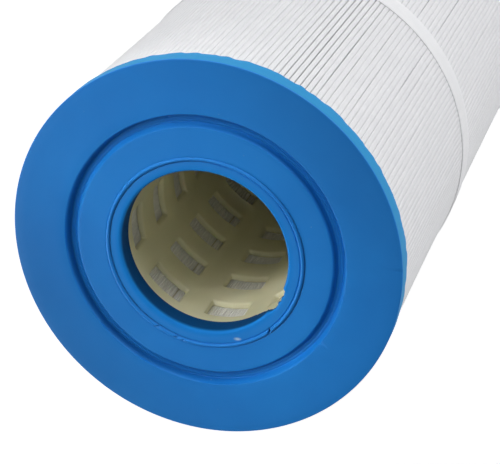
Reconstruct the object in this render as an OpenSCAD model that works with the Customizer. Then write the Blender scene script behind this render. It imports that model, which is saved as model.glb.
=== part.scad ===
// Pleated filter cartridge for a spa or small pool skimmer.
// Two cast end caps with a through bore, a two-piece perforated core,
// a ring of radial pleats joined by one side seam, and two retaining bands.
// Millimetres. +Z runs along the cartridge axis. The origin is the centre
// of the lower cap's outer face, so the part stands on Z = 0.

/* [Cartridge] */
// Overall length, face to face
total_l = 338; // [300:1:420]
// Outer diameter of the end caps
cap_d = 125.4; // [125.4:0.1:130]

/* [End caps] */
// Diameter of the bore through each cap
bore_d = 54; // [50:0.1:54]
// Depth of the sleeve that lines the bore
bore_depth = 7.5; // [6.5:0.1:10]
// Height of the rim around the pleats
rim_h = 6.5; // [5:0.1:7]
// Thickness of the cap above the potted ends
cap_floor = 3.5; // [3.2:0.1:4]
// Depth of the round groove in the face
groove_depth = 2; // [1:0.1:2.5]
// Inner radius of the groove
groove_r1 = 41; // [38:0.1:42]
// Outer radius of the groove
groove_r2 = 45.3; // [45:0.1:47]
// How far each wall of the groove leans in, from lip to floor
groove_lean = 1.2; // [0.5:0.1:1.3]
// How far the middle of the face sits below the outer land
plateau_drop = 0.3; // [0.2:0.1:0.8]
// Radius of the thin moulding ridge
ridge_r = 31.6; // [30:0.1:33]
// Width of the thin moulding ridge
ridge_w = 0.9; // [0.5:0.1:1.5]
// Chamfer around the outer edge of the face
edge_c = 0.7; // [0.3:0.1:1]
// Chamfer at the mouth of the bore
mouth_c = 0.3; // [0.1:0.1:0.4]

/* [Core] */
// Inside diameter of the core tube
core_id = 56.4; // [56.4:0.1:56.8]
// Wall thickness of the core tube
core_wall = 2; // [1.8:0.1:2.2]
// Number of windows around the core
win_cols = 8; // [6:1:10]
// Rows of windows in each half of the core
win_rows = 8; // [6:1:9]
// Depth of the first window row below the cap face
win_first = 18.6; // [16:0.1:20]
// Height of each window along the axis
win_h = 9.5; // [6:0.1:12]
// Width of each window around the tube
win_w = 14; // [8:0.1:14]
// Angle of the first column of windows
win_phase = 37; // [0:0.5:45]
// Length of the spigot that joins the two halves
spigot_l = 4; // [3:0.1:4.5]

/* [Pleats] */
// Number of pleats
pleats = 210; // [150:1:214]
// Radius of the outer folds
pleat_r2 = 62.1; // [60:0.1:62.1]
// Radius of the inner folds
pleat_r1 = 30.7; // [30.7:0.1:33]
// Thickness of the fabric
media_t = 0.3; // [0.2:0.01:0.3]
// Half width of an outer fold
fold_w2 = 0.8; // [0.5:0.01:0.85]
// Half width of the gap at an inner fold
fold_w1 = 0.13; // [0.05:0.01:0.14]
// Angle left for the side seam
seam_gap = 0.6; // [0.5:0.1:1]
// Direction of the side seam
seam_at = 90; // [0:1:359]

/* [Bands] */
// Width of each retaining band
band_w = 11.2; // [8:0.1:20]
// Thickness of each retaining band
band_t = 0.8; // [0.4:0.1:1]
// Distance from each end to the middle of its band
band_z = 103.8; // [60:0.1:140]

/* [Hidden] */
$fn = 180;

cap_r = cap_d / 2;
bore_r = bore_d / 2;
core_r1 = core_id / 2;
core_r2 = core_r1 + core_wall;
sleeve_r = core_r1 - 0.05;           // the sleeve stands just inside the core
pocket_r = pleat_r2 + 0.05;          // the rim stands just outside the folds
stack_l = total_l - 2 * cap_floor;   // what stands between the two cap floors
mid_z = total_l / 2;
joint_r = core_r1 + core_wall / 2;   // where the spigot meets its socket
win_pitch = (total_l - 2 * win_first) / (2 * win_rows - 1);
pleat_pitch = (360 - seam_gap) / pleats;

// Section of a cap, right of the axis, face at height 0 and body below it
function cap_section() = [
    [bore_r, -bore_depth],
    [sleeve_r, -bore_depth],
    [sleeve_r, -cap_floor],
    [pocket_r, -cap_floor],
    [pocket_r, -rim_h],
    [cap_r, -rim_h],
    [cap_r, -edge_c],
    [cap_r - edge_c * 0.3, -edge_c * 0.3],
    [cap_r - edge_c, 0],
    [groove_r2 + 0.3, 0],
    [groove_r2 - 0.1, -0.3],
    [groove_r2 - groove_lean + 0.2, -groove_depth + 0.3],
    [groove_r2 - groove_lean - 0.2, -groove_depth],
    [groove_r1 + groove_lean + 0.2, -groove_depth],
    [groove_r1 + groove_lean - 0.2, -groove_depth + 0.3],
    [groove_r1 + 0.1, -plateau_drop - 0.3],
    [groove_r1 - 0.3, -plateau_drop],
    [ridge_r + ridge_w / 2 + 0.2, -plateau_drop],
    [ridge_r + ridge_w / 4, 0],
    [ridge_r - ridge_w / 4, 0],
    [ridge_r - ridge_w / 2 - 0.1, -plateau_drop],
    [bore_r + mouth_c, -plateau_drop],
    [bore_r, -plateau_drop - mouth_c]
];

module cap() {
    color([0.17, 0.45, 0.73])
        rotate_extrude() polygon(cap_section());
}

// One row of windows, as cutters
module windows(z) {
    for (k = [0 : win_cols - 1])
        rotate([0, 0, win_phase + k * 360 / win_cols])
            translate([core_r1 - 3, -win_w / 2, z - win_h / 2])
                cube([core_wall + 6, win_w, win_h]);
}

module tube(r2, r1, z0, z1) {
    translate([0, 0, z0])
        linear_extrude(z1 - z0)
            difference() {
                circle(r2);
                circle(r1);
            }
}

function polar(r, a) = [r * cos(a), r * sin(a)];
// A point at radius r, moved sideways by w from the direction a
function off(r, a, w) = polar(r, a + w / r * 180 / PI);
function valley(i) = seam_at + seam_gap / 2 + i * pleat_pitch;
function tip(i) = valley(i) + pleat_pitch / 2;

// Outside of the folded strip, from one cut end round to the other
outer_path = [
    for (i = [0 : pleats - 1]) each [
        off(i == 0 ? pleat_r1 : pleat_r1 + media_t, valley(i), fold_w1),
        off(pleat_r2, tip(i), -fold_w2),
        off(pleat_r2, tip(i), fold_w2),
        off(i == pleats - 1 ? pleat_r1 : pleat_r1 + media_t,
            valley(i + 1), -fold_w1)
    ]
];
// Inside of the folded strip, the other way round
inner_path = [
    for (i = [pleats - 1 : -1 : 0]) each [
        off(pleat_r1, valley(i + 1), -fold_w1 - media_t),
        off(pleat_r2 - media_t, tip(i), fold_w2 - media_t),
        off(pleat_r2 - media_t, tip(i), media_t - fold_w2),
        off(pleat_r1, valley(i), fold_w1 + media_t)
    ]
];

module end_cap_top() {
    translate([0, 0, total_l]) cap();
}

module end_cap_bottom() {
    mirror([0, 0, 1]) cap();
}

// Upper half of the core, with the spigot at its lower end
module core_upper() {
    color([0.85, 0.82, 0.70])
        difference() {
            union() {
                tube(core_r2, core_r1, mid_z, total_l - cap_floor);
                tube(joint_r - 0.02, core_r1, mid_z - spigot_l, mid_z + 1);
            }
            for (j = [0 : win_rows - 1])
                windows(total_l - win_first - j * win_pitch);
        }
}

// Lower half of the core, with the socket at its upper end
module core_lower() {
    color([0.83, 0.80, 0.68])
        difference() {
            tube(core_r2, core_r1, cap_floor, mid_z);
            translate([0, 0, mid_z - spigot_l])
                cylinder(h = spigot_l + 1, r = joint_r);
            for (j = [0 : win_rows - 1])
                windows(win_first + j * win_pitch);
        }
}

// One strip of fabric, folded into radial pleats
module pleated_media() {
    color([0.93, 0.93, 0.94])
        translate([0, 0, cap_floor])
            linear_extrude(stack_l)
                polygon(concat(outer_path, inner_path));
}

// Adhesive strip that closes the ring between the two cut ends
module side_seam() {
    color([0.90, 0.88, 0.80])
        rotate([0, 0, seam_at])
            translate([pleat_r1 + 0.1, -0.2, cap_floor])
                cube([pleat_r2 - pleat_r1 - 3.1, 0.4, stack_l]);
}

module band(z) {
    color([0.95, 0.95, 0.96])
        tube(pleat_r2 + 0.1 + band_t, pleat_r2 + 0.1,
             z - band_w / 2, z + band_w / 2);
}

module band_upper() { band(total_l - band_z); }
module band_lower() { band(band_z); }

end_cap_top();
end_cap_bottom();
core_upper();
core_lower();
pleated_media();
side_seam();
band_upper();
band_lower();
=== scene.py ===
import math

import bpy
import numpy as np
from mathutils import Matrix, Vector
from mathutils.geometry import tessellate_polygon

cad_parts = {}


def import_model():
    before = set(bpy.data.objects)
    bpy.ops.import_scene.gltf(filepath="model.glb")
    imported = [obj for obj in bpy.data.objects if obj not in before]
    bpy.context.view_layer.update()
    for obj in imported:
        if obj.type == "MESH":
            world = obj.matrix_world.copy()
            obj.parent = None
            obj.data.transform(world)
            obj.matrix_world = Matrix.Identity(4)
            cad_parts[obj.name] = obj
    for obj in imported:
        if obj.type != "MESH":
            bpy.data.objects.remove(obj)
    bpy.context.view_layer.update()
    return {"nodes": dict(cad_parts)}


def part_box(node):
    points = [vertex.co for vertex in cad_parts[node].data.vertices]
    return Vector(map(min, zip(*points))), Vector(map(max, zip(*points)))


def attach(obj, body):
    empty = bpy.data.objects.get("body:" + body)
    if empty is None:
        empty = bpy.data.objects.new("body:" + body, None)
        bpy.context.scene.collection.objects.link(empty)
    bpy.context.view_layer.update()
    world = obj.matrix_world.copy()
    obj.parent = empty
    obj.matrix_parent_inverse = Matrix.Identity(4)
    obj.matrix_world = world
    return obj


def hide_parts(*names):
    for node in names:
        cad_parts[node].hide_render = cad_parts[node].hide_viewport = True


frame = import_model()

# The looks of a pleated filter cartridge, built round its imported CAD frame.
# Everything is in metres in the frame's own axes: +Z is the cartridge axis.

MM = 0.001
NODES = frame["nodes"]

TOP_LOW, TOP_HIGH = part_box("end_cap_top")
BAND_UP_LOW, BAND_UP_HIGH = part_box("band_upper")
BAND_LOW_LOW, BAND_LOW_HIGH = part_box("band_lower")
CORE_UP_LOW, CORE_UP_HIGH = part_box("core_upper")
CORE_LOW_LOW, CORE_LOW_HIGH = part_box("core_lower")

LENGTH = TOP_HIGH.z / MM                  # 338 mm, face to face
CAP_R = TOP_HIGH.x / MM                   # 62.7 mm
TIP_R = 62.1                              # outer folds of the pleats
FOLD_R = 30.7                             # inner folds of the pleats
BORE_R = 27.0
CORE_R1, CORE_R2 = 28.2, 30.2
PLEATS = 210
SEAM_AT, SEAM_GAP = 90.0, 0.6


# ---------------------------------------------------------------- helpers

def new_mesh(name, verts, faces, smooth=True):
    """A mesh object from metres and index lists, at the origin."""
    mesh = bpy.data.meshes.new(name)
    mesh.from_pydata([tuple(map(float, v)) for v in verts], [], faces)
    mesh.validate()
    mesh.update()
    if smooth:
        mesh.polygons.foreach_set("use_smooth", [True] * len(mesh.polygons))
    obj = bpy.data.objects.new(name, mesh)
    bpy.context.scene.collection.objects.link(obj)
    return obj


def grid_faces(rows, cols, wrap_rows, wrap_cols, flip=False):
    """Quads of a rows x cols grid whose index is row * cols + col."""
    r = np.arange(rows if wrap_rows else rows - 1)
    c = np.arange(cols if wrap_cols else cols - 1)
    R, C = np.meshgrid(r, c, indexing="ij")
    R1, C1 = (R + 1) % rows, (C + 1) % cols
    q = np.stack([R * cols + C, R1 * cols + C, R1 * cols + C1, R * cols + C1], -1)
    if flip:
        q = q[..., ::-1]
    return q.reshape(-1, 4).tolist()


def ring_noise(n, step_deg, seed, power=1.0):
    """n values round a circle: seeded noise with features about step_deg wide."""
    rng = np.random.RandomState(seed)
    knots = max(3, int(round(360.0 / step_deg)))
    v = rng.uniform(-1, 1, knots)
    t = np.arange(n) / n * knots
    i = np.floor(t).astype(int)
    f = t - i
    p0, p1, p2, p3 = (v[(i + k) % knots] for k in (-1, 0, 1, 2))
    out = 0.5 * (2 * p1 + (p2 - p0) * f + (2 * p0 - 5 * p1 + 4 * p2 - p3) * f ** 2
                 + (3 * p1 - p0 - 3 * p2 + p3) * f ** 3)
    return np.sign(out) * np.abs(out) ** power


def line_noise(t, step, seed):
    """Seeded smooth noise along a line, at positions t, with features about step long."""
    rng = np.random.RandomState(seed)
    t = np.asarray(t, float) / step
    i = np.floor(t).astype(int)
    lo = i.min() - 2
    v = rng.uniform(-1, 1, int(i.max() - lo + 5))
    f = t - i
    f = f * f * (3 - 2 * f)
    return v[i - lo] * (1 - f) + v[i - lo + 1] * f


def fillet(corners, spacing):
    """A closed section: corners are (r, z, fillet radius), and straight runs are cut at about spacing."""
    pts = []
    n = len(corners)
    for k in range(n):
        p = np.array(corners[k][:2], float)
        a = np.array(corners[k - 1][:2], float) - p
        b = np.array(corners[(k + 1) % n][:2], float) - p
        la, lb = np.linalg.norm(a), np.linalg.norm(b)
        a, b = a / la, b / lb
        rad = corners[k][2]
        if rad <= 0:
            pts.append([p])
            continue
        half = math.acos(max(-1, min(1, float(a @ b)))) / 2
        cut = min(rad / math.tan(half), la * 0.48, lb * 0.48)
        rad = cut * math.tan(half)
        mid = (a + b) / np.linalg.norm(a + b)
        centre = p + mid * rad / math.sin(half)
        s, e = p + a * cut - centre, p + b * cut - centre
        sweep = math.pi - 2 * half
        steps = max(2, int(round(math.degrees(sweep) / 18)))
        arc = []
        sign = 1 if s[0] * e[1] - s[1] * e[0] > 0 else -1
        for j in range(steps + 1):
            w = sweep * j / steps * sign
            c, q = math.cos(w), math.sin(w)
            arc.append(centre + np.array([s[0] * c - s[1] * q, s[0] * q + s[1] * c]))
        pts.append(arc)
    out = []
    for k in range(n):
        out += list(pts[k])
        start, end = pts[k][-1], pts[(k + 1) % n][0]
        gap = np.linalg.norm(end - start)
        step = spacing(start, end)
        for j in range(1, max(1, int(round(gap / step)))):
            out.append(start + (end - start) * j / max(1, int(round(gap / step))))
    return np.array(out)


# -------------------------------------------------------------- materials

class Tree:
    """Short calls for building one material's nodes."""

    def __init__(self, name):
        self.mat = bpy.data.materials.new(name)
        self.mat.use_nodes = True
        self.nt = self.mat.node_tree
        self.nt.nodes.clear()
        self.out = self.add("ShaderNodeOutputMaterial")
        self.bsdf = self.add("ShaderNodeBsdfPrincipled")
        self.link(self.bsdf.outputs[0], self.out.inputs["Surface"])
        self.coords = self.add("ShaderNodeTexCoord").outputs["Object"]

    def add(self, kind, **values):
        node = self.nt.nodes.new(kind)
        for key, value in values.items():
            setattr(node, key, value)
        return node

    def link(self, a, b):
        self.nt.links.new(a, b)

    def set(self, **values):
        for key, value in values.items():
            key = key.replace("_", " ")
            if hasattr(value, "is_linked") or isinstance(value, bpy.types.NodeSocket):
                self.link(value, self.bsdf.inputs[key])
            else:
                self.bsdf.inputs[key].default_value = value

    def mapping(self, scale, source=None, rotation=(0, 0, 0), location=(0, 0, 0)):
        node = self.add("ShaderNodeMapping")
        node.inputs["Scale"].default_value = scale
        node.inputs["Rotation"].default_value = rotation
        node.inputs["Location"].default_value = location
        self.link(source or self.coords, node.inputs["Vector"])
        return node.outputs[0]

    def noise(self, vector, scale, detail=3.0, rough=0.55, distortion=0.0):
        node = self.add("ShaderNodeTexNoise")
        node.inputs["Scale"].default_value = scale
        node.inputs["Detail"].default_value = detail
        node.inputs["Roughness"].default_value = rough
        node.inputs["Distortion"].default_value = distortion
        self.link(vector, node.inputs["Vector"])
        return node.outputs["Fac"]

    def voronoi(self, vector, scale, feature="F1", randomness=1.0):
        node = self.add("ShaderNodeTexVoronoi", feature=feature)
        node.inputs["Scale"].default_value = scale
        node.inputs["Randomness"].default_value = randomness
        self.link(vector, node.inputs["Vector"])
        return node.outputs["Distance"]

    def remap(self, value, a, b, c=0.0, d=1.0, kind="LINEAR"):
        node = self.add("ShaderNodeMapRange", interpolation_type=kind)
        self.link(value, node.inputs["Value"])
        for key, x in zip(("From Min", "From Max", "To Min", "To Max"), (a, b, c, d)):
            node.inputs[key].default_value = x
        return node.outputs[0]

    def math(self, kind, a, b=None, clamp=False):
        node = self.add("ShaderNodeMath", operation=kind)
        node.use_clamp = clamp
        for socket, x in zip(node.inputs, (a, b)):
            if x is None:
                continue
            if isinstance(x, bpy.types.NodeSocket):
                self.link(x, socket)
            else:
                socket.default_value = x
        return node.outputs[0]

    def mix(self, fac, a, b):
        node = self.add("ShaderNodeMix", data_type="RGBA")
        for socket, x in ((node.inputs["Factor"], fac), (node.inputs[6], a), (node.inputs[7], b)):
            if isinstance(x, bpy.types.NodeSocket):
                self.link(x, socket)
            elif isinstance(x, (int, float)):
                socket.default_value = x
            else:
                socket.default_value = (*x, 1.0)
        return node.outputs[2]

    def bump(self, height, distance, strength=1.0, normal=None):
        node = self.add("ShaderNodeBump")
        node.inputs["Strength"].default_value = strength
        node.inputs["Distance"].default_value = distance
        self.link(height, node.inputs["Height"])
        if normal is not None:
            self.link(normal, node.inputs["Normal"])
        return node.outputs[0]

    def attribute(self, name):
        return self.add("ShaderNodeAttribute", attribute_name=name).outputs["Fac"]


def linear(r, g, b):
    """sRGB bytes to linear light."""
    def one(v):
        v /= 255.0
        return v / 12.92 if v <= 0.04045 else ((v + 0.055) / 1.055) ** 2.4
    return (one(r), one(g), one(b))


def polyurethane():
    """Cast blue polyurethane: faint cloudy colour, a soft orange-peel skin, fine scuffs and a few pits; painted shade
    darkens the bore, creases and groove, and painted light brightens the side rim.
    """
    t = Tree("cast_polyurethane_blue")
    cloud = t.noise(t.mapping((1, 1, 1)), 38.0, 4.0, 0.55, 0.4)
    wide = t.noise(t.mapping((1, 1, 1), location=(3, 1, 7)), 9.0, 2.0, 0.5)
    base = t.mix(t.remap(cloud, 0.3, 0.7), PU_DARK, PU_LIGHT)
    base = t.mix(t.remap(wide, 0.35, 0.65, 0.0, 0.35), base, PU_WIDE)
    speck = t.voronoi(t.mapping((1, 1, 1), location=(5, 2, 1)), 260.0)
    speck_on = t.math("MULTIPLY", t.remap(speck, 0.0, 0.10, 1.0, 0.0, "SMOOTHSTEP"),
                      t.remap(t.noise(t.coords, 60.0, 1.0), 0.56, 0.66, 0.0, 1.0))
    base = t.mix(t.math("MULTIPLY", speck_on, 0.55), base, linear(130, 180, 220))
    # painted light: the cap's side rim gets a lighter, greener blue that stands in for the backdrop and key light it
    # catches
    wall = t.attribute("side_wall_painted_light")
    base = t.mix(wall, base, PU_WALL_PAINTED_LIGHT)
    mark = t.attribute("chalk")
    base = t.mix(mark, base, linear(176, 208, 236))
    matte = t.math("MAXIMUM", wall, t.attribute("matte"))
    # painted shade: a darker blue laid where the bore, the creases and the groove lie in shadow
    base = t.mix(t.attribute("painted_shade"), base, PU_PAINTED_SHADE)
    t.set(Base_Color=base, Specular_IOR_Level=t.remap(matte, 0.0, 1.0, 0.42, 0.16))
    scuff = t.noise(t.mapping((1, 1, 1), location=(1, 9, 4)), 240.0, 5.0, 0.65)
    rough = t.math("ADD", t.remap(scuff, 0.3, 0.7, PU_ROUGH - 0.05, PU_ROUGH + 0.07),
                   t.math("MULTIPLY", t.math("MAXIMUM", mark, matte), 0.22))
    t.set(Roughness=rough, IOR=1.48)
    t.set(Subsurface_Weight=0.05, Subsurface_Scale=0.002, Subsurface_Radius=(0.25, 0.6, 1.0))
    peel = t.noise(t.coords, 900.0, 2.0, 0.5)
    slow = t.noise(t.mapping((1, 1, 1), location=(2, 2, 2)), 120.0, 2.0, 0.5)
    pit = t.remap(speck, 0.0, 0.08, 0.0, 1.0, "SMOOTHSTEP")
    pit = t.math("MAXIMUM", pit, t.remap(t.noise(t.coords, 60.0, 1.0), 0.56, 0.66, 1.0, 0.0))
    height = t.math("ADD", t.math("MULTIPLY", peel, 0.10), t.math("MULTIPLY", slow, 0.75))
    normal = t.bump(height, 0.00016, 0.6)
    normal = t.bump(pit, 0.00012, 0.5, normal)
    t.set(Normal=normal)
    return t.mat


def moulded_cream():
    """Cream moulded plastic: satin, with faint flow marks along the axis and a slight grain."""
    t = Tree("moulded_cream_plastic")
    flow = t.noise(t.mapping((1, 1, 0.12)), 70.0, 4.0, 0.6, 0.8)
    cloud = t.noise(t.mapping((1, 1, 1), location=(4, 4, 1)), 26.0, 3.0, 0.5)
    base = t.mix(t.remap(flow, 0.3, 0.7), CREAM_DARK, CREAM_LIGHT)
    base = t.mix(t.remap(cloud, 0.35, 0.65, 0.0, 0.4), base, CREAM_WIDE)
    t.set(Base_Color=base)
    grain = t.noise(t.coords, 1500.0, 3.0, 0.6)
    t.set(Roughness=t.remap(flow, 0.3, 0.7, 0.36, 0.5), IOR=1.5)
    t.set(Subsurface_Weight=0.12, Subsurface_Scale=0.003, Subsurface_Radius=(1.0, 0.8, 0.5))
    normal = t.bump(t.math("ADD", t.math("MULTIPLY", grain, 0.3), flow), 0.00008, 0.5)
    t.set(Normal=normal)
    return t.mat


def spunbond(name, light, dark, fibre=1.0, rough=(0.82, 0.95)):
    """White spun-bonded polyester: random fine fibres, faint clouds of denser fibre, dry and slightly see-through; the
    inner folds get a painted lighter colour.
    """
    t = Tree(name)
    cloud = t.noise(t.mapping((1, 1, 1)), 210.0, 4.0, 0.6, 0.3)
    wide = t.noise(t.mapping((1, 1, 0.3), location=(7, 3, 2)), 40.0, 2.0, 0.5)
    base = t.mix(t.remap(cloud, 0.3, 0.7), dark, light)
    base = t.mix(t.remap(wide, 0.35, 0.65, 0.0, 0.3), base, dark)
    # painted light: the inner folds, seen in shade through the core's windows, are given a lighter cream-white so they
    # read as lit
    inside_painted_light = t.attribute("inner_fold_painted_light")
    t.set(Base_Color=t.mix(inside_painted_light, base, (0.93, 0.925, 0.90)))
    a = t.noise(t.mapping((1, 1, 0.06), rotation=(0.5, 0.2, 0.3)), 5200.0, 2.0, 0.6, 0.5)
    b = t.noise(t.mapping((1, 0.08, 1), rotation=(-0.6, 0.4, -0.5)), 4300.0, 2.0, 0.6, 0.5)
    c = t.noise(t.mapping((0.09, 1, 1), rotation=(0.3, -0.7, 0.9)), 4700.0, 2.0, 0.6, 0.5)
    mat = t.math("MAXIMUM", t.math("MAXIMUM", a, b), c)
    t.set(Roughness=t.remap(mat, 0.45, 0.75, rough[1], rough[0]))
    t.set(IOR=1.45, Specular_IOR_Level=0.25)
    t.set(Subsurface_Weight=t.remap(inside_painted_light, 0.0, 1.0, 0.35, 0.0), Subsurface_Scale=0.001, Subsurface_Radius=(1.0, 1.0, 1.0))
    height = t.math("ADD", t.math("MULTIPLY", mat, 1.0), t.math("MULTIPLY", cloud, 0.6))
    t.set(Normal=t.bump(height, 0.00012 * fibre, 0.55))
    return t.mat


def adhesive():
    """Hardened pale adhesive with soft lumps."""
    t = Tree("seam_adhesive")
    lump = t.noise(t.coords, 160.0, 3.0, 0.5, 0.6)
    t.set(Base_Color=t.mix(t.remap(lump, 0.3, 0.7), linear(205, 198, 176), linear(228, 223, 206)))
    t.set(Roughness=t.remap(lump, 0.3, 0.7, 0.3, 0.55), IOR=1.5)
    t.set(Normal=t.bump(lump, 0.0003, 0.6))
    return t.mat


PU_DARK, PU_LIGHT, PU_WIDE = linear(19, 131, 220), linear(25, 139, 228), linear(22, 136, 227)
# painted light: the lighter blue given to the cap's side rim
PU_WALL_PAINTED_LIGHT = linear(42, 143, 201)
# painted shade: the darker blue for shadowed places on the cap
PU_PAINTED_SHADE = linear(2, 71, 127)
PU_ROUGH = 0.46
CREAM_DARK, CREAM_LIGHT, CREAM_WIDE = linear(233, 228, 189), linear(241, 237, 204), linear(237, 232, 195)
BLUE = polyurethane()
CREAM = moulded_cream()
FABRIC = spunbond("spunbond_pleat_fabric", (0.80, 0.805, 0.825), (0.76, 0.765, 0.79))
BAND = spunbond("retaining_band_fabric", (0.86, 0.865, 0.885), (0.83, 0.835, 0.86), 0.5, (0.6, 0.75))
GLUE = adhesive()


def dress(obj, mat, slot, *replaced):
    """The material and CAD body of a finished piece, with the CAD parts it replaces hidden; slot is not used."""
    obj.data.materials.clear()
    obj.data.materials.append(mat)
    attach(obj, "root")
    if replaced:
        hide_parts(*replaced)
    return obj


# --------------------------------------------------------------- end caps

CAP_STEPS = 720
PLATEAU = -0.55         # the middle of the face sits a little below the outer land
RIM = -6.5
SLEEVE = -7.5
POT = -6.2              # level of the potting between the pleats

CAP_SECTION = [
    (BORE_R, SLEEVE, 0.15),
    (CORE_R1 - 0.05, SLEEVE, 0.15),
    (CORE_R1 - 0.05, POT, 0.0),
    (61.75, POT, 0.25),
    (61.95, RIM, 0.12),
    (CAP_R, RIM, 0.22),
    (CAP_R, 0.0, 0.38),
    (45.5, 0.0, 0.26),
    (44.45, -2.4, 0.4),
    (42.35, -2.4, 0.4),
    (41.1, PLATEAU, 0.24),
    (33.9, PLATEAU, 0.0),
    (29.2, PLATEAU, 0.0),
    (BORE_R, PLATEAU, 0.95),
]


def spacing(a, b):
    """Fine steps where the moulding ridge lies, coarse ones on plain runs."""
    if abs(a[1] - PLATEAU) < 1e-6 and abs(b[1] - PLATEAU) < 1e-6:
        return 0.12 if max(a[0], b[0]) < 34 and min(a[0], b[0]) > 29 else 1.2
    if a[1] < -2.2 and b[1] < -2.2 and a[1] > -2.6:
        return 0.2
    if abs(a[0] - b[0]) > 10:
        return 3.4 if a[1] > -1 else 8.0
    return 0.8


def wrap(a):
    return (a + 180.0) % 360.0 - 180.0


def cap(name, seed, ridge, nicks, chalk, pits, flash, twist=0.0):
    """One cast cap, face at height 0 and body below. ridge is (mean radius, eccentricity, its direction).
    nicks are (direction, half width, depth share) cuts in the ridge; chalk and pits are (direction, radius, size) marks;
    flash is (from, to) where the lining of the bore has torn."""
    sec = fillet(CAP_SECTION, spacing)
    n, m = CAP_STEPS, len(sec)
    deg = np.arange(n) * 360.0 / n
    R = np.repeat(sec[None, :, 0], n, 0)
    Z = np.repeat(sec[None, :, 1], n, 0)
    D = np.repeat(deg[:, None], m, 1)

    # the ring left by the mould's core plug, a little off centre
    r0, ecc, ecc_dir = ridge
    rr = r0 + ecc * np.cos(np.radians(D - ecc_dir)) + 0.05 * ring_noise(n, 14, seed + 1)[:, None]
    width = 0.56 + 0.07 * ring_noise(n, 25, seed + 2)[:, None]
    height = 0.50 * (1 + 0.10 * ring_noise(n, 9, seed + 3)[:, None])
    for at, half, share in nicks:
        height = height * (1 - share * np.exp(-((wrap(D - at) + 1.5 * (R - rr)) / half) ** 2))
    cuts = np.zeros_like(R)
    for at, half, share in nicks:
        cut = np.exp(-((wrap(D - at) + 1.5 * (R - rr)) / (0.6 * half)) ** 2) * np.exp(-((R - rr) / 1.0) ** 4)
        cuts = np.maximum(cuts, cut * np.clip(share - 1.0, 0, 1))
    x = np.abs(R - rr) / width
    bead = np.clip(1 - x * x, 0, 1) ** 0.8
    # turn is positive where the ridge's outer side faces away from the key light; it sets the crease depths and where
    # painted shade goes
    turn = np.cos(np.radians(D + 155))
    outer_crease, inner_crease = np.clip((turn - 0.45) / 0.55, 0, 1), np.clip(-turn, 0, 1)
    crease = np.exp(-((x - 1.2) / 0.27) ** 2) * (0.27 + 0.07 * ring_noise(n, 6, seed + 15)[:, None])
    crease = crease * np.where(R > rr, 0.25 + 0.75 * outer_crease, 0.9)
    face = (Z > PLATEAU - 0.02) & (R > BORE_R + 1.4) & (R < 36)
    Z = Z + np.where(face, np.minimum(height, 0.5) * bead - crease, 0)

    # mask of the cap's side rim, which gets the painted lighter colour
    wall_painted_light = np.where((R > 61.7) & (Z < -0.3), 1.0, 0.0)
    matte_mark = np.maximum(0.3 * np.exp(-((R - rr) / 1.3) ** 4), np.clip((29.4 - R) / 1.0, 0, 1)) * (R < 36)
    matte_mark = np.maximum(matte_mark, 0.3 * ((R > 40) & (R < 46.2)))
    # painted shade down the bore's lining, deeper further in
    painted_shade_mark = np.clip((-Z - 0.9) / 0.9, 0, 1) * (R < 29.3)
    # painted shade in the creases at the ridge's foot and at the foot of the groove's walls, heavier on the sides
    # turned away from the key light, and in the nicks of the ridge
    side = np.where(R > rr, outer_crease, inner_crease) ** 0.6
    painted_shade_mark = np.maximum(painted_shade_mark, face * np.exp(-((x - 1.25) / 0.42) ** 2) * (0.05 + 0.68 * side))
    painted_shade_mark = np.maximum(painted_shade_mark, 0.55 * np.exp(-((R - 41.75) / 0.55) ** 2) * np.clip(turn + 0.45, 0, 1) * (Z < -0.7))
    painted_shade_mark = np.maximum(painted_shade_mark, face * cuts)
    painted_shade_mark = np.maximum(painted_shade_mark, 0.65 * np.exp(-((R - 44.75) / 0.75) ** 2) * np.clip(0.35 - turn, 0, 1) * (Z < -0.3))

    # the free edge of the rim, where the casting crept unevenly up the pleats
    low = 0.24 * ring_noise(n, 9, seed + 4) + 0.50 * ring_noise(n, 2.2, seed + 5, 0.7) + 0.22 * ring_noise(n, 1.1, seed + 6)
    low = np.clip(low, -0.46, 0.85)
    share = np.clip((-Z - 4.2) / 2.3, 0, 1) ** 1.6 * (R > 61.5)
    Z = Z + share * (-low[:, None] * 0.9 - 0.12 + 0.28)
    Z = np.maximum(Z, -7.5)
    lip = 0.16 * ring_noise(n, 3.7, seed + 7) + 0.06 * ring_noise(n, 1.7, seed + 8)
    R = R - share * (R > 62.0) * np.clip(0.10 + lip[:, None], 0, 0.34)

    # fine tool rings on the floor of the groove
    floor = (R > 42.2) & (R < 44.6) & (Z < -2.15) & (Z > -2.7)
    Z = Z + floor * (0.10 * np.cos((R - 43.75) * 2 * np.pi / 0.95) + 0.03 * ring_noise(n, 4.0, seed + 18)[:, None])

    # slow unevenness of the cast face and of both groove walls
    wave = (0.030 * ring_noise(n, 31, seed + 9)[:, None] * np.sin(R / 7.0)
            + 0.022 * ring_noise(n, 17, seed + 10)[:, None] * np.cos(R / 4.1))
    Z = Z + np.where(Z > -2.6, wave - 0.052, 0)
    Z = np.where(R > 46, np.minimum(Z, 0), Z)
    groove = (R > 40.6) & (R < 45.9) & (Z < -0.15) & (Z > -2.7)
    R = R + groove * (0.09 * ring_noise(n, 11, seed + 11)[:, None] + 0.04 * ring_noise(n, 3.1, seed + 12)[:, None])

    # the thin lining of the bore, torn away along one short stretch
    if flash:
        a, b = flash
        rag = (0.5 * ring_noise(n, 1.2, seed + 13) + 0.35 * ring_noise(n, 2.4, seed + 14)
               + 0.3 * ring_noise(n, 6.0, seed + 16))
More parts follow.
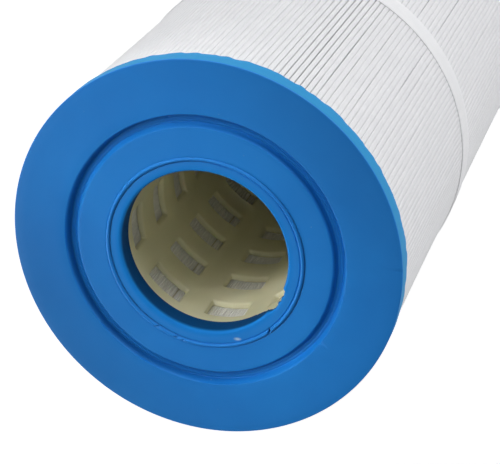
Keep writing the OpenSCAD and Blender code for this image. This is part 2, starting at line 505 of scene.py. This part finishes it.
        # share of the lining that is gone: it thins out slowly from one side and ends sharply on the other
        gone = np.interp(wrap(deg - a), [0.0, 9.0, 17.0, 22.0, b - a - 5.0, b - a], [0.0, 0.30, 0.72, 1.0, 1.0, 0.0])
        full = -SLEEVE - 1.6
        left = full * (1 - gone) + 0.3 + 0.75 * rag * np.clip(6 * gone, 0, 1)
        left = np.clip(left, 0.12, full)[:, None]
        worn = np.clip((gone - 0.72) / 0.28, 0, 1)
        worn = np.clip(worn * (0.9 + 0.4 * rag), 0, 1)[:, None]
        R = R + worn * 1.05 * np.clip((CORE_R1 - 0.05 - R) / (CORE_R1 - 0.05 - BORE_R), 0, 1) * (R < CORE_R1 - 0.06)
        sleeve = (R < CORE_R1) & (Z < -1.6)
        Z = np.where(sleeve, -1.6 + (Z + 1.6) * left / full, Z)

    chalk_mark = np.zeros_like(R)
    for at, rad, size in chalk:
        along, across = wrap(D - at) * np.pi / 180 * rad, R - rad
        along, across = along + 0.35 * across, across - 0.33 * along
        d = np.hypot(along / size[0], across / size[1])
        chalk_mark = np.maximum(chalk_mark, np.where(Z > -3, np.clip(1.3 - d, 0, 1), 0))
        Z = Z - np.where(Z > -3, 0.08 * np.exp(-d * d), 0)
    for at, rad, size in pits:
        d = np.hypot(wrap(D - at) * np.pi / 180 * rad, R - rad) / size
        Z = Z - np.where(Z > -3, 0.35 * np.exp(-d * d), 0)

    A = np.radians(D + twist)
    V = np.stack([R * np.cos(A), R * np.sin(A), Z], -1).reshape(-1, 3)
    faces = grid_faces(n, m, True, True)
    return V, faces, {"chalk": chalk_mark, "side_wall_painted_light": wall_painted_light, "matte": matte_mark, "painted_shade": painted_shade_mark}


def outward(obj):
    """Faces turned so that their normals point out of the solid."""
    import bmesh
    bm = bmesh.new()
    bm.from_mesh(obj.data)
    bmesh.ops.recalc_face_normals(bm, faces=bm.faces)
    bm.to_mesh(obj.data)
    bm.free()


def make_cap(name, node, top, **options):
    V, faces, marks = cap(name, **options)
    V = V.copy()
    if top:
        V[:, 2] += LENGTH
    else:
        V[:, 2] *= -1
    obj = new_mesh(name, V * MM, faces)
    for key, values in marks.items():
        attr = obj.data.attributes.new(key, "FLOAT", "POINT")
        attr.data.foreach_set("value", values.reshape(-1).astype(np.float32))
    outward(obj)
    return dress(obj, BLUE, "end_cap", node)


# directions on the face run clockwise as seen from outside the top cap
make_cap(
    "cap_top_cast", "end_cap_top", True, seed=11,
    ridge=(31.5, 0.5, -216.0),
    nicks=[(-196, 0.95, 2.7), (-250, 0.6, 0.9), (-254.5, 0.7, 1.3), (-267, 0.6, 1.3), (-121, 0.5, 0.5)],
    chalk=[(-216.5, 30.3, (1.2, 0.55))],
    pits=[(-43, 44.3, 0.42), (-181, 45.4, 0.25), (-145, 62.4, 0.3)],
    flash=(-206, -163),
)
make_cap(
    "cap_bottom_cast", "end_cap_bottom", False, seed=57,
    ridge=(31.6, 0.35, 70.0),
    nicks=[(35, 0.6, 0.8), (140, 0.7, 0.9), (250, 0.5, 0.6)],
    chalk=[],
    pits=[(80, 43.6, 0.35), (300, 50.0, 0.25)],
    flash=None,
)


# ------------------------------------------------------------------- core

WIN_COLS, WIN_ROWS = 8, 8
WIN_H, WIN_W = 9.5, 14.0
WIN_FIRST, WIN_PHASE = 18.6, 37.0
WIN_PITCH = (LENGTH - 2 * WIN_FIRST) / (2 * WIN_ROWS - 1)
SIDE = 9                # points along each side of a window


def square_ring(half_w, half_h, radius):
    """SIDE points along each side of a rectangle with rounded corners, counter-clockwise, as (x, y)."""
    pts = []
    corners = [(1, -1), (1, 1), (-1, 1), (-1, -1)]
    for k in range(4):
        a, b = np.array(corners[k], float), np.array(corners[(k + 1) % 4], float)
        for j in range(SIDE):
            # corners of the ring fall on the corners of the cell, with points bunched near them
            s = j / SIDE
            s = s + 0.06 * math.sin(2 * math.pi * s) * -1
            pts.append(a + (b - a) * s)
    out = []
    for p in pts:
        x, y = p[0] * half_w, p[1] * half_h
        if radius > 0:
            ix, iy = half_w - radius, half_h - radius
            dx, dy = max(abs(x) - ix, 0), max(abs(y) - iy, 0)
            if dx > 0 and dy > 0:
                length = math.hypot(dx, dy)
                x = math.copysign(ix + dx * radius / length, x)
                y = math.copysign(iy + dy * radius / length, y)
        out.append((x, y))
    return np.array(out)


def core_tube(name, node, top_half):
    """Half of the core: a tube whose windows have soft edges and slightly drafted sides."""
    verts, faces = [], []
    cell_w = 2 * math.pi * CORE_R1 / WIN_COLS
    n_ring = 4 * SIDE
    mid = LENGTH / 2

    def put(theta, r, z):
        verts.append((r * math.cos(theta), r * math.sin(theta), z))
        return len(verts) - 1

    def bridge(a, b):
        for j in range(n_ring):
            faces.append([a[j], a[(j + 1) % n_ring], b[(j + 1) % n_ring], b[j]])

    if top_half:
        rows = [LENGTH - WIN_FIRST - j * WIN_PITCH for j in range(WIN_ROWS)]
    else:
        rows = [WIN_FIRST + j * WIN_PITCH for j in range(WIN_ROWS)]
    # (radius, growth of the window's half size, corner radius): from the bore side out
    rings = [(CORE_R1, None), (CORE_R1, 0.62), (CORE_R1 + 0.05, 0.36), (CORE_R1 + 0.2, 0.08), (CORE_R1 + 0.5, -0.10),
             (CORE_R1 + 1.1, -0.2), (CORE_R2 - 0.3, -0.3), (CORE_R2 - 0.08, -0.25), (CORE_R2, -0.1), (CORE_R2, None)]
    for z in rows:
        for k in range(WIN_COLS):
            centre = math.radians(WIN_PHASE + 360.0 / WIN_COLS * k)
            loops = []
            for r, grow in rings:
                if grow is None:
                    ring = square_ring(cell_w / 2, WIN_PITCH / 2, 0)
                else:
                    ring = square_ring(WIN_W / 2 - 0.3 + grow, WIN_H / 2 + grow, 0.8 + grow * 0.5)
                loops.append([put(centre + x / CORE_R1, r, z + y) for x, y in ring])
            for a, b in zip(loops, loops[1:]):
                bridge(a, b)
    # plain lengths at each end of the half
    steps = [math.radians(WIN_PHASE + 360.0 / WIN_COLS * k) + x / CORE_R1
             for k in range(WIN_COLS)
             for x, y in square_ring(cell_w / 2, WIN_PITCH / 2, 0)[3 * SIDE:4 * SIDE]]
    first, last = rows[0], rows[-1]
    if top_half:
        high_in, high_out = LENGTH - 3.5, LENGTH - 3.5
        edge_high, edge_low = first + WIN_PITCH / 2, last - WIN_PITCH / 2
    else:
        edge_low, edge_high = first - WIN_PITCH / 2, last + WIN_PITCH / 2

    def skirt(section):
        """Sweeps (r, z) points round the tube on the same steps as the cells."""
        loops = [[put(a, r, z) for a in steps] for r, z in section]
        m = len(steps)
        for a, b in zip(loops, loops[1:]):
            for j in range(m):
                faces.append([a[j], a[(j + 1) % m], b[(j + 1) % m], b[j]])

    joint = CORE_R1 + (CORE_R2 - CORE_R1) / 2
    if top_half:
        skirt([(CORE_R1, edge_high), (CORE_R1, LENGTH - 8), (CORE_R1, LENGTH - 3.7), (CORE_R1 + 0.2, LENGTH - 3.5),
               (CORE_R2 - 0.2, LENGTH - 3.5), (CORE_R2, LENGTH - 3.7), (CORE_R2, LENGTH - 8), (CORE_R2, edge_high)])
        skirt([(CORE_R1, edge_low), (CORE_R1, mid - 3.8), (CORE_R1 + 0.2, mid - 4), (joint - 0.22, mid - 4),
               (joint - 0.02, mid - 3.8), (joint - 0.02, mid), (CORE_R2 - 0.2, mid), (CORE_R2, mid + 0.2), (CORE_R2, edge_low)])
    else:
        skirt([(CORE_R1, edge_low), (CORE_R1, 8), (CORE_R1, 3.7), (CORE_R1 + 0.2, 3.5),
               (CORE_R2 - 0.2, 3.5), (CORE_R2, 3.7), (CORE_R2, 8), (CORE_R2, edge_low)])
        skirt([(CORE_R1, edge_high), (CORE_R1, mid - 4.1), (CORE_R1 + 0.1, mid - 4), (joint, mid - 4), (joint, mid - 0.15),
               (joint + 0.15, mid), (CORE_R2 - 0.2, mid), (CORE_R2, mid - 0.2), (CORE_R2, edge_high)])
    obj = new_mesh(name, np.array(verts) * MM, faces)
    import bmesh
    bm = bmesh.new()
    bm.from_mesh(obj.data)
    bmesh.ops.remove_doubles(bm, verts=bm.verts, dist=2e-5)
    bmesh.ops.recalc_face_normals(bm, faces=bm.faces)
    open_edges = sum(1 for e in bm.edges if len(e.link_faces) != 2)
    bm.to_mesh(obj.data)
    bm.free()
    if open_edges:
        print(name, "open edges:", open_edges)
    return dress(obj, CREAM, "core", node)


core_tube("core_upper_moulded", "core_upper", True)
core_tube("core_lower_moulded", "core_lower", False)


# ----------------------------------------------------------------- pleats

def pleat_mesh():
    """One folded strip: outer and inner skins 0.3 mm apart, whose folds wander a little between the caps."""
    t = 0.30
    near = [3.6, 6.0, 9.5, 16, 28, 46, 68, 88, 97.6, 110.0, 124, 150]
    stations = near + [LENGTH - z for z in reversed(near)]
    zs = np.array(stations)
    K = len(zs)
    pitch = (360.0 - SEAM_GAP) / PLEATS
    idx = np.arange(PLEATS)
    valley_deg = SEAM_AT + SEAM_GAP / 2 + np.arange(PLEATS + 1) * pitch
    tip_deg = SEAM_AT + SEAM_GAP / 2 + (idx + 0.5) * pitch

    # how free each station is: held in the caps, nearly held under the bands
    end = np.clip((np.minimum(zs, LENGTH - zs) - 5.0) / 30.0, 0, 1) ** 0.7
    under = np.minimum(np.abs(zs - BAND_Z[0]), np.abs(zs - BAND_Z[1]))
    free = end * (0.45 + 0.55 * np.clip((under - 5.0) / 40.0, 0, 1))

    rng = np.random.RandomState(7)
    # sideways wander of each outer fold, in mm: neighbours lean together, and each has its own wave
    own = np.stack([line_noise(zs + 500, 55, 1000 + i) for i in idx])            # pleat x station
    pack = np.stack([line_noise(np.arange(PLEATS) + 40, 5.5, 300 + k // 3) for k in range(K)], 1)
    slow = np.stack([line_noise(np.arange(PLEATS) + 40, 17.0, 700 + k // 6) for k in range(K)], 1)
    for _ in range(2):
        pack[:, 1:-1] = (pack[:, :-2] + 2 * pack[:, 1:-1] + pack[:, 2:]) / 4
        slow[:, 1:-1] = (slow[:, :-2] + 2 * slow[:, 1:-1] + slow[:, 2:]) / 4
    fixed = rng.uniform(-1, 1, PLEATS)[:, None]
    lean = (0.004 * fixed + free[None, :] * (0.004 * own + 0.008 * pack + 0.10 * slow))
    away = np.minimum(idx, PLEATS - 1 - idx)
    lean *= np.clip((away - 0.5) / 4.0, 0, 1)[:, None]          # still at the side seam

    # height of each outer fold: the pack is fullest near the caps and slack past the band
    base = 61.86 + 0.12 * np.exp(-(np.minimum(zs, LENGTH - zs) / 30.0) ** 2) - 0.12 * free
    held = np.clip(1.0 - (under - 6.3) / 12.0, 0, 1)              # 1 where a band presses the folds level
    height = base[None, :] + 0.018 * rng.uniform(-1, 1, PLEATS)[:, None] * (0.4 + 0.6 * free[None, :])
    height = height + 0.03 * free[None, :] * np.stack([line_noise(zs + 900, 40, 5000 + i) for i in idx])
    height = height + 0.10 * free[None, :] * slow
    height = height * (1 - held) + (TIP_R - 0.012) * held
    height = np.minimum(height, TIP_R - 0.01)

    # folds nearly touch, and stand a little apart in a loose stretch on one side
    loose = (0.115 * np.exp(-(wrap(tip_deg + 82.0) / 7.0) ** 2) + 0.065 * np.exp(-(wrap(tip_deg + 45.0) / 25.0) ** 2)
             + 0.05 * np.exp(-(wrap(tip_deg - 140.0) / 20.0) ** 2))
    wide = 0.906 - loose[:, None] + 0.003 * rng.uniform(-1, 1, PLEATS)[:, None] + 0.002 * own
    # no two neighbouring folds pass through each other
    arc = np.radians(tip_deg)[:, None] * height
    for _ in range(6):
        centre = arc + lean
        gap = (centre[1:] - wide[1:]) - (centre[:-1] + wide[:-1])
        push = np.clip(0.03 - gap, 0, None) / 2
        lean[1:] += push
        lean[:-1] -= push

    # where each fold leans on its neighbour, a little below the tips: mid line and half gap, on the radius of the tips
    centre = arc + lean
    right, left = centre + wide, centre - wide
    middle = 0.5 * (right[:-1] + left[1:]) / height[:-1]
    touch = 0.014 + 0.8 * loose[:-1] * rng.uniform(0.85, 1.0, PLEATS - 1)
    first_side = (left[0] / height[0])[None, :]
    last_side = (right[-1] / height[-1])[None, :]
    meet_left = np.concatenate([first_side, middle], 0)           # angle of the boundary on each side of a fold
    meet_right = np.concatenate([middle, last_side], 0)
    touch_left = np.concatenate([[0.0], touch])
    touch_right = np.concatenate([touch, [0.0]])

    inner = FOLD_R - 0.40 + 0.10 * rng.uniform(0, 1, PLEATS + 1)[:, None] + 0 * zs[None, :]
    inner_shift = 0.03 * rng.uniform(-1, 1, PLEATS + 1)[:, None] + 0 * zs[None, :]
    inner_shift[0] = inner_shift[-1] = 0
    inner[0] = inner[-1] = FOLD_R - 0.30

    def at(r, degrees, sideways):
        a = np.radians(degrees) + sideways / r
        return np.stack([r * np.cos(a), r * np.sin(a)], -1)

    rows = []          # each: array K x 2, in order round the section
    # outer skin
    tip_arc = [(-1.0, 0.30), (-0.90, 0.10), (-0.55, 0.015), (0.0, 0.0), (0.55, 0.015), (0.90, 0.10), (1.0, 0.30)]
    for i in range(PLEATS):
        gap_in = 0.13
        r_v = inner[i] + t
        if i == 0:
            rows.append(at(inner[0], valley_deg[0], gap_in + 0 * zs))
        else:
            rows.append(at(r_v, valley_deg[i], inner_shift[i] + gap_in))
        # leg out, bowed a little
        r_m = 0.5 * (inner[i] + height[i])
        bow = 0.16 * lean[i]
        v = valley_deg[i]
        a0 = (valley_deg[i] + tip_deg[i]) / 2
        mid_out = 0.5 * ((np.radians(valley_deg[i] - a0) * r_m + inner_shift[i] + gap_in)
                         + (np.radians(tip_deg[i] - a0) * r_m + lean[i] - wide[i]))
        rows.append(at(r_m, a0, mid_out + bow))
        r_t = height[i] - 1.3
        rows.append(at(r_t, 0.0, meet_left[i] * r_t + touch_left[i]))
        for x, drop in tip_arc:
            rows.append(at(height[i] - drop, tip_deg[i], lean[i] + x * wide[i]))
        a1 = (valley_deg[i + 1] + tip_deg[i]) / 2
        mid_in = 0.5 * ((np.radians(valley_deg[i + 1] - a1) * r_m + inner_shift[i + 1] - gap_in)
                        + (np.radians(tip_deg[i] - a1) * r_m + lean[i] + wide[i]))
        rows.append(at(r_t, 0.0, meet_right[i] * r_t - touch_right[i]))
        rows.append(at(r_m, a1, mid_in + bow))
        if i == PLEATS - 1:
            rows.append(at(inner[-1], valley_deg[-1], -gap_in + 0 * zs))
        else:
            rows.append(at(inner[i + 1] + t, valley_deg[i + 1], inner_shift[i + 1] - gap_in))
    n_outer = len(rows)
    # inner skin, back the other way
    for i in reversed(range(PLEATS)):
        gap_in = 0.13
        w_in = gap_in + t
        if i == PLEATS - 1:
            rows.append(at(inner[-1], valley_deg[-1], -w_in + 0 * zs))
        else:
            rows.append(at(inner[i + 1] + 0.02, valley_deg[i + 1], inner_shift[i + 1] - w_in * 0.55))
            rows.append(at(inner[i + 1] + 0.22, valley_deg[i + 1], inner_shift[i + 1] - w_in))
        rows.append(at(height[i] - t, tip_deg[i], lean[i] + 0.85 * (wide[i] - t)))
        rows.append(at(height[i] - t, tip_deg[i], lean[i] - 0.85 * (wide[i] - t)))
        if i == 0:
            rows.append(at(inner[0], valley_deg[0], w_in + 0 * zs))
        else:
            rows.append(at(inner[i] + 0.22, valley_deg[i], inner_shift[i] + w_in))
            rows.append(at(inner[i] + 0.02, valley_deg[i], inner_shift[i] + w_in * 0.55))
    P = np.array(rows)                                     # section x station x 2
    S = len(P)
    V = np.concatenate([P, np.broadcast_to(zs[None, :, None], (S, K, 1))], -1).reshape(-1, 3)
    faces = grid_faces(S, K, True, False)
    # the cut ends of the strip, closed between its two skins
    for k, order in ((0, 1), (K - 1, -1)):
        for tri in tessellate_polygon([[Vector((*P[j, k], 0.0)) for j in range(S)]]):
            faces.append([j * K + k for j in tri][::order])
    return V, faces, P, zs, n_outer


BAND_Z = ((BAND_LOW_LOW.z + BAND_LOW_HIGH.z) / 2 / MM, (BAND_UP_LOW.z + BAND_UP_HIGH.z) / 2 / MM)
V, faces, P, zs, n_outer = pleat_mesh()
media = new_mesh("pleat_pack", V * MM, faces)
outward(media)
# mask of the inner folds, which get painted light in the fabric's colour
attr = media.data.attributes.new("inner_fold_painted_light", "FLOAT", "POINT")
attr.data.foreach_set("value", np.clip((32.6 - np.hypot(V[:, 0], V[:, 1])) / 1.2, 0, 1).astype(np.float32))
dress(media, FABRIC, "media", "pleated_media")

seam = NODES["side_seam"]
seam.data.materials.clear()
seam.data.materials.append(GLUE)


# ------------------------------------------------------------------ bands

def band(name, node, z_mid, seed, lap_at):
    """A flat strip drawn tight over the folds: it dips a hair between them, and its ends lap at the back."""
    n = PLEATS * 4
    deg = np.arange(n) * 360.0 / n + SEAM_AT
    half_w = (BAND_UP_HIGH.z - BAND_UP_LOW.z) / 2 / MM
    r_in, r_out = 62.10, 62.46
    section = [(0.0, -1.0), (0.0, -0.34), (0.0, 0.34), (0.0, 1.0), (0.18, 1.0), (0.5, 0.992), (0.82, 0.97), (1.0, 0.93),
               (1.0, 0.6), (1.0, 0.3), (1.0, 0.0), (1.0, -0.3), (1.0, -0.6), (1.0, -0.93), (0.82, -0.97), (0.5, -0.992), (0.18, -1.0)]
    m = len(section)
    dip = 0.05 * (0.5 - 0.5 * np.cos(np.radians((deg - SEAM_AT - SEAM_GAP / 2) * PLEATS * 360 / (360 - SEAM_GAP)) + 0.0))
    slack = 0.06 * (ring_noise(n, 9, seed) * 0.5 + 0.5) + 0.04 * (ring_noise(n, 2.6, seed + 1) * 0.5 + 0.5)
    drift = 0.22 * ring_noise(n, 70, seed + 2) + 0.05 * ring_noise(n, 8, seed + 3)
    edge_a = 0.05 * ring_noise(n, 3.0, seed + 4)
    edge_b = 0.05 * ring_noise(n, 3.0, seed + 5)
    verts = np.zeros((n, m, 3))
    for j, (u, w) in enumerate(section):
        r = r_in + (r_out - r_in) * u
        r = r - (dip + slack) * (u > 0.5) + 0 * deg
        # the lap: for a short way the strip is pressed thinner, with a step at its end
        d = wrap(deg - lap_at)
        pressed = np.clip(1.0 - np.abs(d) / 7.0, 0, 1) ** 0.25
        step = np.where((d > 0) & (d < 7), 0.16, 0.0) + np.where((d > -7) & (d <= 0), 0.05, 0.0)
        r = r - (u > 0.4) * np.minimum(step, 0.12) * (pressed > 0)
        z = z_mid + drift * 0.5 + w * (half_w - 0.16) + (edge_a if w > 0 else edge_b) * (abs(w) > 0.9)
        a = np.radians(deg)
        verts[:, j] = np.stack([r * np.cos(a), r * np.sin(a), z], -1)
    obj = new_mesh(name, verts.reshape(-1, 3) * MM, grid_faces(n, m, True, True))
    outward(obj)
    dress(obj, BAND, "band", node)
    return obj


band("band_upper_strip", "band_upper", BAND_Z[1], 21, 84.0)
band("band_lower_strip", "band_lower", BAND_Z[0], 31, 97.0)


# ------------------------------------------------------ floor, light, view

def floor():
    size = 6.0
    obj = new_mesh("studio_floor", [(-size, -size, 0), (size, -size, 0), (size, size, 0), (-size, size, 0)], [[0, 1, 2, 3]], False)
    t = Tree("pale_floor")
    soft = t.noise(t.coords, 1.6, 3.0, 0.5)
    t.set(Base_Color=t.mix(t.remap(soft, 0.3, 0.7), (0.86, 0.86, 0.87), (0.90, 0.90, 0.91)))
    t.set(Roughness=0.9, Specular_IOR_Level=0.1)
    t.set(Emission_Color=(1.0, 1.0, 1.0, 1.0), Emission_Strength=FLOOR_GLOW)
    obj.data.materials.append(t.mat)
    return obj


def softbox(name, azimuth, elevation, distance, size, power, target=(0, 0, 0.30), tint=(1, 1, 1)):
    data = bpy.data.lights.new(name, "AREA")
    data.shape = "RECTANGLE"
    data.size, data.size_y = size
    data.energy = power
    data.color = tint
    obj = bpy.data.objects.new(name, data)
    bpy.context.scene.collection.objects.link(obj)
    a, e = math.radians(azimuth), math.radians(elevation)
    away = Vector((math.cos(a) * math.cos(e), math.sin(a) * math.cos(e), math.sin(e)))
    obj.location = Vector(target) + away * distance
    obj.rotation_euler = away.to_track_quat("Z", "Y").to_euler()
    obj.visible_camera = False
    return obj


def world(levels):
    """A plain studio: pale at the horizon and below, dimmer overhead."""
    w = bpy.data.worlds.new("studio")
    bpy.context.scene.world = w
    w.use_nodes = True
    nt = w.node_tree
    nt.nodes.clear()
    out = nt.nodes.new("ShaderNodeOutputWorld")
    back = nt.nodes.new("ShaderNodeBackground")
    coords = nt.nodes.new("ShaderNodeTexCoord")
    split = nt.nodes.new("ShaderNodeSeparateXYZ")
    ramp = nt.nodes.new("ShaderNodeValToRGB")
    nt.links.new(coords.outputs["Generated"], split.inputs[0])
    nt.links.new(split.outputs["Z"], ramp.inputs[0])
    ramp.color_ramp.interpolation = "EASE"
    ramp.color_ramp.elements[0].position = levels[0][0]
    ramp.color_ramp.elements[0].color = (*[levels[0][1]] * 3, 1)
    ramp.color_ramp.elements[1].position = levels[-1][0]
    ramp.color_ramp.elements[1].color = (*[levels[-1][1]] * 3, 1)
    for p, v in levels[1:-1]:
        e = ramp.color_ramp.elements.new(p)
        e.color = (v, v, v, 1)
    nt.links.new(ramp.outputs[0], back.inputs["Color"])
    back.inputs["Strength"].default_value = 1.0
    nt.links.new(back.outputs[0], out.inputs["Surface"])


FLOOR_GLOW = 0.59
floor()
world([(0.0, 0.84), (0.08, 0.80), (0.20, 0.42), (0.36, 0.09), (0.65, 0.08), (0.74, 0.26), (1.0, 0.26)])
softbox("key", 30, 34, 1.1, (0.5, 0.5), 0.5)
softbox("fill", -50, 40, 1.1, (0.5, 0.5), 0.8)
softbox("side", 62, 24, 1.2, (0.5, 0.4), 5.3)
softbox("front", -86, 8, 1.8, (1.4, 0.9), 10.4)
softbox("front_low", -126, 10, 1.8, (1.0, 0.8), 1.2)
for number, (azimuth, elevation, power) in enumerate(
        ((-8, 35, 0.0020), (-17, 40, 0.0016), (-20, 32, 0.0017),
         (-29, 37, 0.0013), (-34, 43, 0.0010), (-40, 33, 0.0010))):
    beam = softbox("beam_%d" % number, azimuth, elevation, 1.0, (0.085, 0.085),
                   power, (0, 0, 0.333))
    beam.data.spread = math.radians(4)

view = bpy.context.scene.view_settings
view.view_transform = "Standard"
view.look = "None"
view.exposure = 0.0
view.gamma = 1.0

cam_data = bpy.data.cameras.new("camera")
cam = bpy.data.objects.new("camera", cam_data)
bpy.context.scene.collection.objects.link(cam)
bpy.context.scene.camera = cam
cam_data.type = "PERSP"
cam_data.sensor_fit = "HORIZONTAL"
cam_data.sensor_width = 36.0
cam_data.lens = 1706.0 / 500.0 * 36.0
cam_data.clip_start, cam_data.clip_end = 0.01, 50.0
cam.matrix_world = Matrix((
    (-0.80865, 0.58829, 0.0, -0.00785),
    (-0.51002, -0.70106, -0.49839, -0.2731),
    (-0.2932, -0.4030, 0.8670, LENGTH * MM + 0.4469),
    (0, 0, 0, 1),
))
